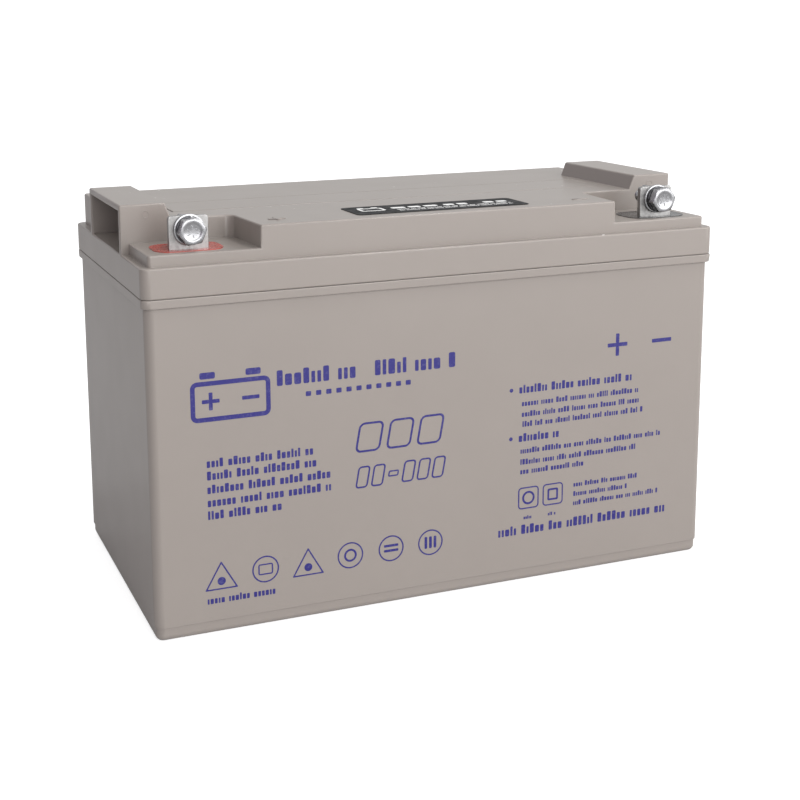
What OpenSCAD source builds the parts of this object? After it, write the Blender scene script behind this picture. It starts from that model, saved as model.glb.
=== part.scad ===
// Sealed 12 V lead-acid battery with two bolted flag terminals.
// X runs along the length, Y along the depth with the terminals at -Y, and Z up.
// The origin is the middle of the underside. All sizes are in millimetres.

/* [Case] */
// Overall length, along X
case_l = 330; // [326:1:334]
// Overall depth, along Y
case_w = 171; // [169:1:175]
// Height of the rim that the lid's skirt stands on
rim_z = 178.6; // [176:0.2:190]
// How far the container's walls lie inside its collar
wall_inset = 1.5; // [1:0.25:2]
// Height of the collar under the rim
collar_h = 4.6; // [3:0.2:8]
// Thickness of the container's outer walls
wall_t = 4.5; // [4:0.25:5]
// Thickness of the container's floor
floor_t = 5; // [4:0.5:6]
// Thickness of the partitions between the cells
partition_t = 3; // [2.5:0.25:3.5]
// Radius of the vertical corners and of the bottom edge
corner_r = 5; // [4:0.5:6]

/* [Lid] */
// Height of the lid's skirt
skirt_h = 15.6; // [14:0.2:18]
// Height of the sunken terminal corners above the skirt's ledge
step_h = 5.8; // [5.4:0.2:7]
// Height of the deck above the terminal corners
deck_h = 11.8; // [11:0.2:14]
// Height of the end blocks above the deck
block_h = 8.2; // [7:0.2:10]
// Width of the ledge at the front and back
ledge_y = 4; // [3.5:0.25:5]
// Width of the ledge at the ends
ledge_x = 4.5; // [4:0.25:5]
// Length of the deck's front edge between the terminal corners
deck_front_l = 205; // [200:1:208]
// Length of an end block, along X
block_l = 24; // [23:0.5:26]
// Depth of an end block, along Y
block_w = 80; // [76:1:84]
// How far the end blocks' inner faces lean out towards the deck
block_lean = 3; // [1:0.5:4]
// Depth of the hand grips, along X
grip_depth = 21; // [18:0.5:21]
// Thickness of the lip and cheeks round a hand grip
grip_wall = 3.5; // [3:0.25:4]
// Thickness of the lid's walls
lid_t = 4; // [3.5:0.25:4.5]

/* [Vents] */
// Length of the vent cover
vent_cover_l = 262; // [258:1:264]
// Width of the vent cover
vent_cover_w = 34.6; // [32:0.2:36]
// Thickness of the vent cover
vent_cover_t = 3; // [2.5:0.25:3]
// Spacing of the vents
vent_pitch = 46; // [45:0.5:46]

/* [Terminals] */
// Distance of each terminal from the middle, along X
terminal_x = 136.5; // [134:0.5:138]
// Width of the flag terminal
flag_w = 20.5; // [19:0.5:22]
// Thickness of the flag terminal
flag_t = 3; // [2.5:0.25:3]
// Height of the flag above the terminal corner
flag_h = 17; // [16.5:0.25:18]
// Place of the flag's front face, along Y
flag_y = -69.5; // [-70:0.25:-69]
// Height of the bolt's axis above the terminal corner
bolt_h = 10; // [9.5:0.25:10]
// Thread diameter
bolt_d = 8; // [8]
// Length of the thread under the bolt's head
bolt_l = 20; // [18:1:22]
// Size across the flats of the head and the nut
hex_af = 13; // [13]
// How far the head and the nut are turned from having a corner at the side, in degrees
hex_turn = 8; // [0:1:59]

/* [Cells] */
// Number of positive plates in a cell
positive_count = 5; // [3:1:5]
// Thickness of a positive plate
positive_t = 3.6; // [3:0.1:3.8]
// Thickness of a negative plate
negative_t = 2.6; // [2:0.1:2.8]
// Height of the plates
plate_h = 141; // [130:1:142]
// Width of the plates, along Y
plate_w = 150; // [140:1:152]

/* [Label] */
// Length of the label on the deck
label_l = 101; // [90:1:110]
// Width of the label on the deck
label_w = 28; // [24:1:30]

/* [Hidden] */
cells = 6;
arc = 32;
fine = 64;

case_color = [0.70, 0.67, 0.64];
lead_color = [0.42, 0.43, 0.46];
steel_color = [0.80, 0.80, 0.82];

// Levels
ledge_z = rim_z + skirt_h;
step_z = ledge_z + step_h;
deck_z = step_z + deck_h;
top_z = deck_z + block_h;
seal_t = 0.8;
spigot_z = rim_z + 7.4;
lid_open_z = spigot_z + seal_t;

// Container
wall_l = case_l - 2 * wall_inset;
wall_w = case_w - 2 * wall_inset;
inner_l = wall_l - 2 * wall_t;
inner_w = wall_w - 2 * wall_t;
cell_l = (inner_l - (cells - 1) * partition_t) / cells;
cell_pitch = cell_l + partition_t;
spigot_t = 2.5;
spigot_l = inner_l + 2 * spigot_t;
spigot_w = inner_w + 2 * spigot_t;
rest_h = 3;
rest_w = 4;
rest_y = 40;

// Lid
skirt_gap = 1.2;
skirt_in_l = spigot_l + 2 * skirt_gap;
skirt_in_w = spigot_w + 2 * skirt_gap;
deck_l = case_l - 2 * ledge_x;
deck_w = case_w - 2 * ledge_y;
pocket_y = -block_w / 2;
pocket_splay = 2.6;
ceiling_z = deck_z - lid_t + 0.2;
block_in_x = case_l / 2 - block_l;
deck_r = 2;
pocket_r = 4.5;
mark_h = 0.4;
mark_l = 9;
mark_w = 2;
mark_x = 89;
mark_y = -66;

// Vents
vent_seat_z = deck_z - vent_cover_t;
vent_gap = 0.4;
vent_well_r = 11;
vent_well_z = step_z - 0.5;
chimney_r = 4.5;
chimney_z = step_z + 6;
valve_r = 6.2;
valve_z = chimney_z + 1.6;

// Terminals
seal_l = 36;
seal_w = 26;
seal_r = 9;
seal_y = -63.5;
seal_depth = 4;
seal_rise = 0.4;
post_r = 7;
post_y = -61.5;
post_gap = 0.2;
ring_seat_r = 10;
ring_seat_h = 3;
flag_base_z = step_z - seal_depth + 1;
flag_back_y = -53;
bolt_z = step_z + bolt_h;
thread_r = bolt_d / 2;
thread_gap = 0.1;
flat_washer_t = 1.6;
flat_washer_r = 8;
spring_washer_t = 2;
spring_washer_r = 7.2;
washer_hole_r = 4.3;
head_t = 5.3;
nut_t = 6.5;
head_y = flag_y - flat_washer_t - spring_washer_t;

// Cells
negative_count = positive_count + 1;
stack_gap = 0.4;
separator_t = (cell_l - 2 * stack_gap - positive_count * positive_t - negative_count * negative_t)
    / (2 * positive_count);
plate_pitch = positive_t + negative_t + 2 * separator_t;
separator_z = floor_t + rest_h;
plate_z = separator_z + 1;
plate_top = plate_z + plate_h;
lug_w = 12;
lug_top = plate_top + 6;
strap_y = 61.5;
strap_w = 16;
strap_h = 7;
strap_margin = 4;
riser_t = 8;
riser_gap = 0.5;
riser_top = lug_top + 20;
link_r = 6;
link_z = lug_top + 13;

// Label
label_t = 0.3;
label_x = 4;
label_y = -58.5;

CELL_PARTS = ["positive_plates_", "negative_plates_", "separators_", "positive_strap_",
    "negative_strap_"];
POLE_PARTS = ["post", "o_ring", "epoxy", "terminal", "flat_washer", "spring_washer", "bolt", "nut"];
POLES = ["positive_", "negative_"];

// Middle of cell n, counted from the positive end
function cell_x(n) = (n - (cells + 1) / 2) * cell_pitch;
// Straps alternate between the front and the back, so that each link is a short one
function strap_side(n, sign) = (n % 2 == 1 ? -1 : 1) * sign;

// ---- shared shapes ----

// Rectangle with round corners, centred
module rounded_rect(l, w, r) {
    square([l - 2 * r, w], center = true);
    square([l, w - 2 * r], center = true);
    for (x = [-1, 1], y = [-1, 1])
        translate([x * (l / 2 - r), y * (w / 2 - r)]) circle(r, $fn = arc);
}

// Upright prism between two levels, on a rounded rectangle
module slab(l, w, r, low, high)
    translate([0, 0, low]) linear_extrude(high - low) rounded_rect(l, w, r);

// Box between two corners
module box(low, high)
    translate(low) cube(high - low);

// Slab whose bottom edge is round as well
module round_footed_slab(l, w, r, high) {
    slab(l, w, r, r, high);
    box([r - l / 2, r - w / 2, 0], [l / 2 - r, w / 2 - r, r]);
    for (y = [-1, 1])
        translate([r - l / 2, y * (w / 2 - r), r]) rotate([0, 90, 0])
            cylinder(l - 2 * r, r, r, $fn = arc);
    for (x = [-1, 1]) {
        translate([x * (l / 2 - r), w / 2 - r, r]) rotate([90, 0, 0])
            cylinder(w - 2 * r, r, r, $fn = arc);
        for (y = [-1, 1])
            translate([x * (l / 2 - r), y * (w / 2 - r), r]) sphere(r, $fn = arc);
    }
}

// Cylinder that runs along +Y from the origin
module along_y(length, r, sides = fine)
    rotate([-90, 0, 0]) cylinder(length, r, r, $fn = sides);

// Hexagon with its edges turned down to a cone at one or both ends
module hexagon(height, both_ends) {
    corner = hex_af / 2 / cos(30);
    turned = hex_af / 2 * 0.97;
    fall = (corner - turned) * tan(30);
    intersection() {
        rotate([0, 0, hex_turn]) cylinder(height, corner, corner, $fn = 6);
        union() {
            translate([0, 0, height - fall]) cylinder(fall, corner, turned, $fn = fine);
            if (both_ends) {
                cylinder(fall, turned, corner, $fn = fine);
                translate([0, 0, fall]) cylinder(height - 2 * fall, corner, corner, $fn = fine);
            } else {
                cylinder(height - fall, corner, corner, $fn = fine);
            }
        }
    }
}

// ---- case ----

// Walls and floor, with two bars across each cell for the plates to rest on
module container() {
    color(case_color) difference() {
        union() {
            round_footed_slab(wall_l, wall_w, corner_r, rim_z);
            slab(case_l, case_w, corner_r, rim_z - collar_h, rim_z);
            slab(spigot_l, spigot_w, corner_r - 2, rim_z, spigot_z);
        }
        difference() {
            box([-inner_l / 2, -inner_w / 2, floor_t], [inner_l / 2, inner_w / 2, spigot_z + 1]);
            for (n = [1:cells], y = [-rest_y, rest_y])
                box([cell_x(n) - cell_l / 2, y - rest_w / 2, floor_t],
                    [cell_x(n) + cell_l / 2, y + rest_w / 2, floor_t + rest_h]);
        }
    }
}

// Walls between the cells, moulded in one with the container, each with a hole for a link
module partitions() {
    color(case_color) for (n = [1:cells - 1]) {
        left = cell_x(n) + cell_l / 2;
        difference() {
            box([left, -inner_w / 2, floor_t], [left + partition_t, inner_w / 2, spigot_z]);
            translate([left - 1, strap_y * strap_side(n, -1), link_z])
                rotate([0, 90, 0]) cylinder(partition_t + 2, link_r, link_r, $fn = fine);
        }
    }
}

// Bead that bonds the lid to the spigot and to the tops of the partitions
module lid_sealant() {
    color([0.16, 0.16, 0.17]) difference() {
        slab(skirt_in_l, skirt_in_w, corner_r - 1, rim_z, lid_open_z);
        slab(spigot_l, spigot_w, corner_r - 2, rim_z - 1, spigot_z);
        for (n = [1:cells])
            box([cell_x(n) - cell_l / 2, -inner_w / 2, rim_z],
                [cell_x(n) + cell_l / 2, inner_w / 2, lid_open_z + 1]);
    }
}

// ---- lid ----

module lid() {
    color(case_color) difference() {
        union() {
            slab(case_l, case_w, corner_r, rim_z, ledge_z);
            difference() {
                slab(deck_l, deck_w, deck_r, ledge_z, deck_z);
                for (side = [-1, 1]) {
                    terminal_corner(side);
                    end_block(side);
                }
            }
            polarity_marks();
        }
        slab(skirt_in_l, skirt_in_w, corner_r - 1, rim_z - 1, lid_open_z);
        for (n = [1:cells]) lid_hollow(n);
        for (side = [-1, 1]) terminal_seat(side);
        vent_seat();
    }
}

// Raised blocks with the hand grips, moulded in one with the lid
module end_blocks() {
    color(case_color) for (side = [-1, 1]) difference() {
        end_block(side);
        hand_grip(side);
    }
}

// Space cut from a front corner of the deck, with a round inner corner
module terminal_corner(side) {
    front_x = deck_front_l / 2;
    slope = pocket_splay / (pocket_y + deck_w / 2);
    beyond = 20;
    mirror([side < 0 ? 1 : 0, 0, 0]) translate([0, 0, step_z]) linear_extrude(deck_h + 1)
        offset(r = pocket_r, $fn = arc) offset(delta = -pocket_r)
            polygon([
                [front_x - slope * beyond, -deck_w / 2 - beyond],
                [front_x + pocket_splay, pocket_y],
                [case_l / 2 + beyond, pocket_y],
                [case_l / 2 + beyond, -deck_w / 2 - beyond]
            ]);
}

// One raised block before its grip is cut. Its inner face leans
module end_block(side)
    mirror([side < 0 ? 1 : 0, 0, 0])
        translate([0, block_w / 2, 0]) rotate([90, 0, 0]) linear_extrude(block_w)
            polygon([
                [block_in_x - block_lean, ledge_z], [case_l / 2, ledge_z],
                [case_l / 2, top_z], [block_in_x, top_z],
                [block_in_x - block_lean, deck_z]
            ]);

// Hollow in an end block's outer face, open outwards
module hand_grip(side) {
    half_w = block_w / 2 - grip_wall;
    mirror([side < 0 ? 1 : 0, 0, 0])
        box([case_l / 2 - grip_depth, -half_w, ledge_z],
            [case_l / 2 + 1, half_w, top_z - grip_wall]);
}

// Plus sign by the positive terminal, minus sign by the negative one
module polarity_marks() {
    for (x = [-mark_x, mark_x])
        translate([x, mark_y, deck_z]) linear_extrude(mark_h)
            square([mark_l, mark_w], center = true);
    translate([-mark_x, mark_y, deck_z]) linear_extrude(mark_h)
        square([mark_w, mark_l], center = true);
}

// Space inside the lid over one cell, clear of the grips, terminal corners and vents
module lid_hollow(n) {
    left = cell_x(n) - cell_l / 2;
    right = cell_x(n) + cell_l / 2;
    hollow_x = deck_l / 2 - lid_t;
    hollow_y = deck_w / 2 - lid_t;
    corner_x = deck_front_l / 2 - lid_t;
    grip_x = case_l / 2 - grip_depth - lid_t;
    difference() {
        intersection() {
            box([left, -inner_w / 2, lid_open_z - 1], [right, inner_w / 2, ceiling_z]);
            union() {
                box([-inner_l / 2, -inner_w / 2, rim_z], [inner_l / 2, inner_w / 2, ledge_z - lid_t]);
                box([-hollow_x, -hollow_y, rim_z], [hollow_x, hollow_y, ceiling_z]);
            }
        }
        for (side = [-1, 1]) mirror([side < 0 ? 1 : 0, 0, 0]) {
            box([corner_x, -case_w, step_z - lid_t], [case_l, pocket_y + lid_t, deck_z]);
            box([grip_x, -block_w / 2, ledge_z - lid_t], [case_l, block_w / 2, deck_z]);
            box([terminal_x - seal_l / 2 - lid_t, -case_w, ledge_z - lid_t],
                [case_l, seal_y + seal_w / 2 + lid_t, step_z]);
        }
        box([-vent_cover_l / 2 - lid_t, -vent_cover_w / 2 - lid_t, vent_seat_z - lid_t],
            [vent_cover_l / 2 + lid_t, vent_cover_w / 2 + lid_t, deck_z]);
        for_each_vent() translate([0, 0, vent_well_z - 2])
            cylinder(deck_z - vent_well_z, vent_well_r + 2.5, vent_well_r + 2.5, $fn = fine);
    }
}

// Filled recess round a terminal, with a stepped bore for the post and its ring
module terminal_seat(side) {
    translate([side * terminal_x, 0, 0]) {
        translate([0, seal_y, 0]) slab(seal_l, seal_w, seal_r, step_z - seal_depth, step_z + 1);
        translate([0, post_y, rim_z]) cylinder(step_z - rim_z, post_r + post_gap, post_r + post_gap,
            $fn = fine);
        translate([0, post_y, step_z - seal_depth - ring_seat_h])
            cylinder(ring_seat_h + 1, ring_seat_r, ring_seat_r, $fn = fine);
    }
}

// ---- vents ----

module for_each_vent()
    for (n = [1:cells]) translate([(n - (cells + 1) / 2) * vent_pitch, 0, 0]) children();

// Trough for the cover, and under it a well with a chimney for each cell
module vent_seat() {
    box([-vent_cover_l / 2 - vent_gap, -vent_cover_w / 2 - vent_gap, vent_seat_z],
        [vent_cover_l / 2 + vent_gap, vent_cover_w / 2 + vent_gap, deck_z + 1]);
    for_each_vent() {
        difference() {
            translate([0, 0, vent_well_z])
                cylinder(deck_z - vent_well_z, vent_well_r, vent_well_r, $fn = fine);
            cylinder(chimney_z, chimney_r, chimney_r, $fn = fine);
        }
        translate([0, 0, rim_z]) cylinder(deck_z - rim_z, 2, 2, $fn = fine);
    }
}

// Strip that lies flush in the deck, with a ring over each valve to hold it down
module vent_cover() {
    color(case_color * 0.97) {
        box([-vent_cover_l / 2, -vent_cover_w / 2, vent_seat_z],
            [vent_cover_l / 2, vent_cover_w / 2, deck_z]);
        for_each_vent() difference() {
            translate([0, 0, valve_z]) cylinder(vent_seat_z - valve_z, valve_r, valve_r, $fn = fine);
            translate([0, 0, valve_z - 1]) cylinder(vent_seat_z - valve_z + 1, chimney_r, chimney_r,
                $fn = fine);
        }
    }
}

// Rubber caps stretched over the chimneys
module vent_valves() {
    color([0.10, 0.10, 0.11]) for_each_vent() difference() {
        translate([0, 0, vent_well_z + 0.5])
            cylinder(valve_z - vent_well_z - 0.5, valve_r, valve_r, $fn = fine);
        translate([0, 0, vent_well_z]) cylinder(chimney_z - vent_well_z, chimney_r, chimney_r,
            $fn = fine);
    }
}

module top_label() {
    color([0.05, 0.05, 0.06]) translate([label_x, label_y, 0])
        slab(label_l, label_w, 1.5, deck_z, deck_z + label_t);
}

// ---- cells ----

// Left face of the first plate in cell n
function stack_x(n) = cell_x(n) - cell_l / 2 + stack_gap;

// One plate with its lug, its left face at x
module plate(x, thickness, side) {
    box([x, -plate_w / 2, plate_z], [x + thickness, plate_w / 2, plate_top]);
    lug_y = side * strap_y;
    box([x, lug_y - lug_w / 2, plate_top - 1], [x + thickness, lug_y + lug_w / 2, lug_top]);
}

module positive_plates(n) {
    first = stack_x(n) + negative_t + separator_t;
    color([0.32, 0.20, 0.15]) for (i = [0:positive_count - 1])
        plate(first + i * plate_pitch, positive_t, strap_side(n, 1));
}

module negative_plates(n) {
    color(lead_color) for (i = [0:negative_count - 1])
        plate(stack_x(n) + i * plate_pitch, negative_t, strap_side(n, -1));
}

// Mats of glass fibre that fill the gaps between the plates
module separators(n) {
    over = 2.5;
    color([0.93, 0.93, 0.90]) for (i = [0:positive_count - 1], after = [0, 1]) {
        x = stack_x(n) + negative_t + i * plate_pitch + after * (separator_t + positive_t);
        box([x, -plate_w / 2 - over, separator_z],
            [x + separator_t, plate_w / 2 + over, plate_top + over]);
    }
}

// Bar cast across a set of lugs, with a riser against the partition on the side given
module strap(n, side, riser) {
    half_l = cell_l / 2 - strap_margin;
    wall_x = cell_l / 2 - riser_gap;
    y = side * strap_y;
    translate([cell_x(n), 0, 0]) {
        box([-half_l, y - strap_w / 2, lug_top], [half_l, y + strap_w / 2, lug_top + strap_h]);
        if (riser != 0) mirror([riser < 0 ? 1 : 0, 0, 0])
            box([wall_x - riser_t, y - strap_w / 2, lug_top], [wall_x, y + strap_w / 2, riser_top]);
    }
}

module positive_strap(n) {
    color(lead_color) strap(n, strap_side(n, 1), n == 1 ? 0 : -1);
}

module negative_strap(n) {
    color(lead_color) strap(n, strap_side(n, -1), n == cells ? 0 : 1);
}

// Weld through the partition between cells n and n + 1
module cell_link(n) {
    length = partition_t + 2 * riser_gap;
    color(lead_color) translate([cell_x(n) + cell_l / 2 - riser_gap, strap_y * strap_side(n, -1), link_z])
        rotate([0, 90, 0]) cylinder(length, link_r, link_r, $fn = fine);
}

// ---- terminals ----

function pole_x(side) = side * terminal_x;

module post(side) {
    low = lug_top + strap_h;
    color(lead_color) translate([pole_x(side), post_y, low])
        cylinder(flag_base_z - low, post_r, post_r, $fn = fine);
}

module o_ring(side) {
    section_r = 1.35;
    color([0.08, 0.08, 0.08])
        translate([pole_x(side), post_y, step_z - seal_depth - ring_seat_h / 2])
            rotate_extrude($fn = fine) translate([(post_r + post_gap + ring_seat_r) / 2, 0])
                circle(section_r, $fn = arc);
}

// Resin poured round the terminal, red at the positive pole and black at the negative
module epoxy(side) {
    color(side < 0 ? [0.72, 0.20, 0.17] : [0.09, 0.09, 0.10]) difference() {
        translate([pole_x(side), seal_y, 0])
            slab(seal_l, seal_w, seal_r, step_z - seal_depth, step_z + seal_rise);
        flag_blank(side);
        translate([pole_x(side), post_y, rim_z])
            cylinder(flag_base_z - rim_z, post_r, post_r, $fn = fine);
    }
}

// Foot and upright of the flag, before the hole is drilled
module flag_blank(side) {
    x = pole_x(side);
    box([x - flag_w / 2, flag_y, flag_base_z], [x + flag_w / 2, flag_back_y, flag_base_z + flag_t]);
    box([x - flag_w / 2, flag_y, flag_base_z], [x + flag_w / 2, flag_y + flag_t, step_z + flag_h]);
}

module terminal(side) {
    color([0.82, 0.81, 0.80]) difference() {
        flag_blank(side);
        translate([pole_x(side), flag_y - 1, bolt_z]) along_y(flag_t + 2, thread_r + 0.5);
    }
}

module flat_washer(side) {
    color(steel_color) translate([pole_x(side), flag_y - flat_washer_t, bolt_z]) difference() {
        along_y(flat_washer_t, flat_washer_r);
        translate([0, -1, 0]) along_y(flat_washer_t + 2, washer_hole_r);
    }
}

// Split ring
module spring_washer(side) {
    slot = 1.4;
    color(steel_color * 0.8) translate([pole_x(side), head_y, bolt_z]) difference() {
        along_y(spring_washer_t, spring_washer_r);
        translate([0, -1, 0]) along_y(spring_washer_t + 2, washer_hole_r);
        rotate([0, 25, 0]) box([-slot / 2, -1, 0], [slot / 2, spring_washer_t + 1, 2 * spring_washer_r]);
    }
}

module bolt(side) {
    tip = 1;
    color(steel_color) translate([pole_x(side), head_y, bolt_z]) {
        rotate([90, 0, 0]) hexagon(head_t, false);
        along_y(bolt_l - tip, thread_r);
        translate([0, bolt_l - tip, 0]) rotate([-90, 0, 0])
            cylinder(tip, thread_r, thread_r - tip * 0.7, $fn = fine);
    }
}

module nut(side) {
    color(steel_color * 0.9) translate([pole_x(side), flag_y + flag_t, bolt_z]) difference() {
        rotate([-90, 0, 0]) hexagon(nut_t, true);
        translate([0, -1, 0]) along_y(nut_t + 2, thread_r + thread_gap);
    }
}

// ---- assembly ----

container();
partitions();
lid();
end_blocks();
lid_sealant();
vent_cover();
vent_valves();
top_label();
for (n = [1:cells]) {
    positive_plates(n);
    negative_plates(n);
    separators(n);
    positive_strap(n);
    negative_strap(n);
}
for (n = [1:cells - 1]) {
    cell_link(n);
}
for (side = [-1, 1]) {
    pole = side < 0 ? "positive_" : "negative_";
    post(side);
    o_ring(side);
    epoxy(side);
    terminal(side);
    flat_washer(side);
    spring_washer(side);
    bolt(side);
    nut(side);
}
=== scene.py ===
import math
import random

import bmesh
import bpy
from mathutils import Matrix, Vector


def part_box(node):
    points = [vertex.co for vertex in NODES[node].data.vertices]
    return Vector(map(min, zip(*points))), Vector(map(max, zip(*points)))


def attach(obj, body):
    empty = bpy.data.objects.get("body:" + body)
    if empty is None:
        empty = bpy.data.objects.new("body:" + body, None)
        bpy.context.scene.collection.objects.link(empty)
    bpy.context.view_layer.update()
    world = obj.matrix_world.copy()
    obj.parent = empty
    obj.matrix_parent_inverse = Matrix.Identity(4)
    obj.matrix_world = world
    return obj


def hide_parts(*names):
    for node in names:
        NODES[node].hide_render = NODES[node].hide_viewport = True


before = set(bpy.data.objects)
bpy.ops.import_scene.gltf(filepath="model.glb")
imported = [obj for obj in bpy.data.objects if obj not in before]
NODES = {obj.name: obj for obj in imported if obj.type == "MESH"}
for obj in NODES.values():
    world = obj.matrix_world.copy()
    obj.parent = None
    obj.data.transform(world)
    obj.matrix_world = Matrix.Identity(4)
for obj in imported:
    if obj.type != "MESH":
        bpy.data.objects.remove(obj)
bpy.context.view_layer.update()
MM = 0.001

# ---- sizes and places, in millimetres, from the CAD nodes where they hold them ----


def span(node):
    """Lowest and highest corner of a CAD node, in millimetres."""
    low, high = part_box(node)
    return low / MM, high / MM


LID_LOW, LID_HIGH = span("lid")
VENT_HIGH = span("vent_cover")[1]
LABEL_LOW, LABEL_HIGH = span("top_label")
RIM_Z = LID_LOW.z
SPIGOT_Z = span("container")[1].z
DECK_Z = VENT_HIGH.z
HALF_L = LID_HIGH.x
HALF_W = LID_HIGH.y

# container
WALL_INSET = 1.5
WALL_L = 2 * (HALF_L - WALL_INSET)
WALL_W = 2 * (HALF_W - WALL_INSET)
WALL_T = 4.5
WALL_FRONT_Y = -WALL_W / 2
CORNER_R = 5.0
FLOOR_T = 5.0
COLLAR_H = 4.6
WALL_BULGE = 0.22
BULGE_TOP_Z = 174.0
FOOT_INSET = 0.7
FOOT_R = 3.5
FOOT_Z = 7.5
CELLS = 6
CELL_PITCH = (span("separators_6")[0].x - span("separators_1")[0].x) / (CELLS - 1)
PARTITION_T = CELLS * CELL_PITCH - WALL_L + 2 * WALL_T
REST_Y = 40
REST_HALF_W = 2
REST_H = 3

# lid
LEDGE_Z = 194.2
STEP_Z = 200.0
CREST_R = 0.9
POCKET_R = 4.0
POCKET_X = 125
POCKET_FRONT_Y = -60
POCKET_REAR_Y = -30
VENT_EDGE_R = 0.45
SEAT_X = 118
SEAT_FRONT_Y = -77
SEAT_REAR_Y = -50
MARK_Y = -66
BLOCK_MIDDLE_X = 151.5
BLOCK_REACH_Y = 40.0
EJECTOR_Z = 214.5

# terminals
POLES = ("positive", "negative")
FLAG_TOP_Z = span("negative_terminal")[1].z
FLAG_EAR_R = 1.6
FLAG_EDGE_R = 0.35
NUT_EDGE_R = 0.18
WASHER_LOW, WASHER_HIGH = span("negative_spring_washer")
BOLT_Z = (WASHER_LOW.z + WASHER_HIGH.z) / 2
BOLT_END_Y = span("positive_bolt")[1].y
HEX_AF = 13.0
HEAD_T = 5.3
HEAD_FACE_Y = span("negative_bolt")[0].y
HEAD_BACK_Y = HEAD_FACE_Y + HEAD_T
DISH_DEPTH = 0.55
THREAD_PITCH = 1.25
THREAD_ROOT_R = 3.28
THREAD_DEPTH = 0.70
WASHER_HOLE_R = 4.3
FLAT_WASHER_R = 8.0
SPRING_WASHER_R = 7.2
RESIN_R = 9.0

# printing
PRINT_T = 0.05

# how near to a wall or a level still counts as being at it
BESIDE_WALL = 6.0
ON_WALL = 0.6
ON_LEVEL = 0.05

# ---- node materials ----


class Material:
    """A procedural material whose textures follow the piece's own coordinates."""

    def __init__(self, name, colour, roughness, metallic=0.0, specular=0.5):
        self.material = bpy.data.materials.new(name)
        self.material.use_nodes = True
        self.tree = self.material.node_tree
        self.shader = self.tree.nodes["Principled BSDF"]
        self.colour = (*colour, 1.0)
        self.shader.inputs["Base Color"].default_value = self.colour
        self.shader.inputs["Roughness"].default_value = roughness
        self.shader.inputs["Metallic"].default_value = metallic
        self.shader.inputs["Specular IOR Level"].default_value = specular
        self.place = self.add("ShaderNodeTexCoord").outputs["Object"]
        self.base = None
        self.bump = None

    def add(self, kind, **settings):
        """A new node with some of its properties set."""
        node = self.tree.nodes.new(kind)
        for key, value in settings.items():
            setattr(node, key, value)
        return node

    def feed(self, socket, value):
        """Links an output to a socket, or sets the socket to a number."""
        if isinstance(value, bpy.types.NodeSocket):
            self.tree.links.new(value, socket)
        else:
            socket.default_value = value

    def stretched(self, scale):
        """The piece's coordinates scaled by a vector."""
        mapping = self.add("ShaderNodeMapping")
        mapping.inputs["Scale"].default_value = scale
        self.feed(mapping.inputs["Vector"], self.place)
        return mapping.outputs["Vector"]

    def noise(self, size, detail=3.0, rough=0.5, stretch=None):
        """Noise whose features are about size millimetres across, as a number from 0 to 1."""
        node = self.add("ShaderNodeTexNoise")
        self.feed(node.inputs["Vector"], self.stretched(stretch) if stretch else self.place)
        node.inputs["Scale"].default_value = 1.0 / (size * MM)
        node.inputs["Detail"].default_value = detail
        node.inputs["Roughness"].default_value = rough
        return node.outputs["Fac"]

    def ramp(self, value, low, high, low_out=0.0, high_out=1.0):
        """Maps low to high onto low_out to high_out, and stops there."""
        node = self.add("ShaderNodeMapRange")
        for key, number in (("Value", value), ("From Min", low), ("From Max", high),
                            ("To Min", low_out), ("To Max", high_out)):
            self.feed(node.inputs[key], number)
        return node.outputs["Result"]

    def maths(self, operation, a, b=0.0):
        node = self.add("ShaderNodeMath", operation=operation)
        self.feed(node.inputs[0], a)
        self.feed(node.inputs[1], b)
        return node.outputs["Value"]

    def tint(self, amount, colour):
        """Mixes a colour over the base colour, by an amount from 0 to 1."""
        mix = self.add("ShaderNodeMix", data_type="RGBA")
        self.feed(mix.inputs["Factor"], amount)
        self.feed(mix.inputs["A"], self.base or self.colour)
        mix.inputs["B"].default_value = (*colour, 1.0)
        self.base = mix.outputs["Result"]
        self.feed(self.shader.inputs["Base Color"], self.base)

    def roughen(self, value):
        self.feed(self.shader.inputs["Roughness"], value)

    def relief(self, height, depth, strength=1.0):
        """Adds a bump of so many millimetres."""
        node = self.add("ShaderNodeBump")
        node.inputs["Strength"].default_value = strength
        node.inputs["Distance"].default_value = depth * MM
        self.feed(node.inputs["Height"], height)
        if self.bump:
            self.feed(node.inputs["Normal"], self.bump)
        self.bump = node.outputs["Normal"]
        self.feed(self.shader.inputs["Normal"], self.bump)

    def facing_up(self):
        """1 on level faces that look up, 0 on the others."""
        geometry = self.add("ShaderNodeNewGeometry")
        split = self.add("ShaderNodeSeparateXYZ")
        self.feed(split.inputs["Vector"], geometry.outputs["Normal"])
        return self.ramp(split.outputs["Z"], 0.7, 0.95)


def case_plastic(name, colour):
    """Moulded plastic with faint clouding, uneven gloss, long shallow waves and a little dust."""
    m = Material(name, colour, 0.26)
    darker = [c * 0.93 for c in colour]
    lighter = [min(1.0, c * 1.08) for c in colour]
    m.tint(m.ramp(m.noise(60, 2), 0.25, 0.75, 0.0, 0.40), darker)
    m.tint(m.ramp(m.noise(17, 1), 0.30, 0.85, 0.0, 0.16), lighter)
    dust = m.maths("MULTIPLY", m.ramp(m.noise(3.2, 1), 0.79, 0.81), m.facing_up())
    m.tint(dust, (0.72, 0.71, 0.69))
    m.roughen(m.ramp(m.noise(26, 1), 0.2, 0.8, 0.285, 0.32))
    m.relief(m.noise(45, 2), 0.5, 0.06)
    return m.material


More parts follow.
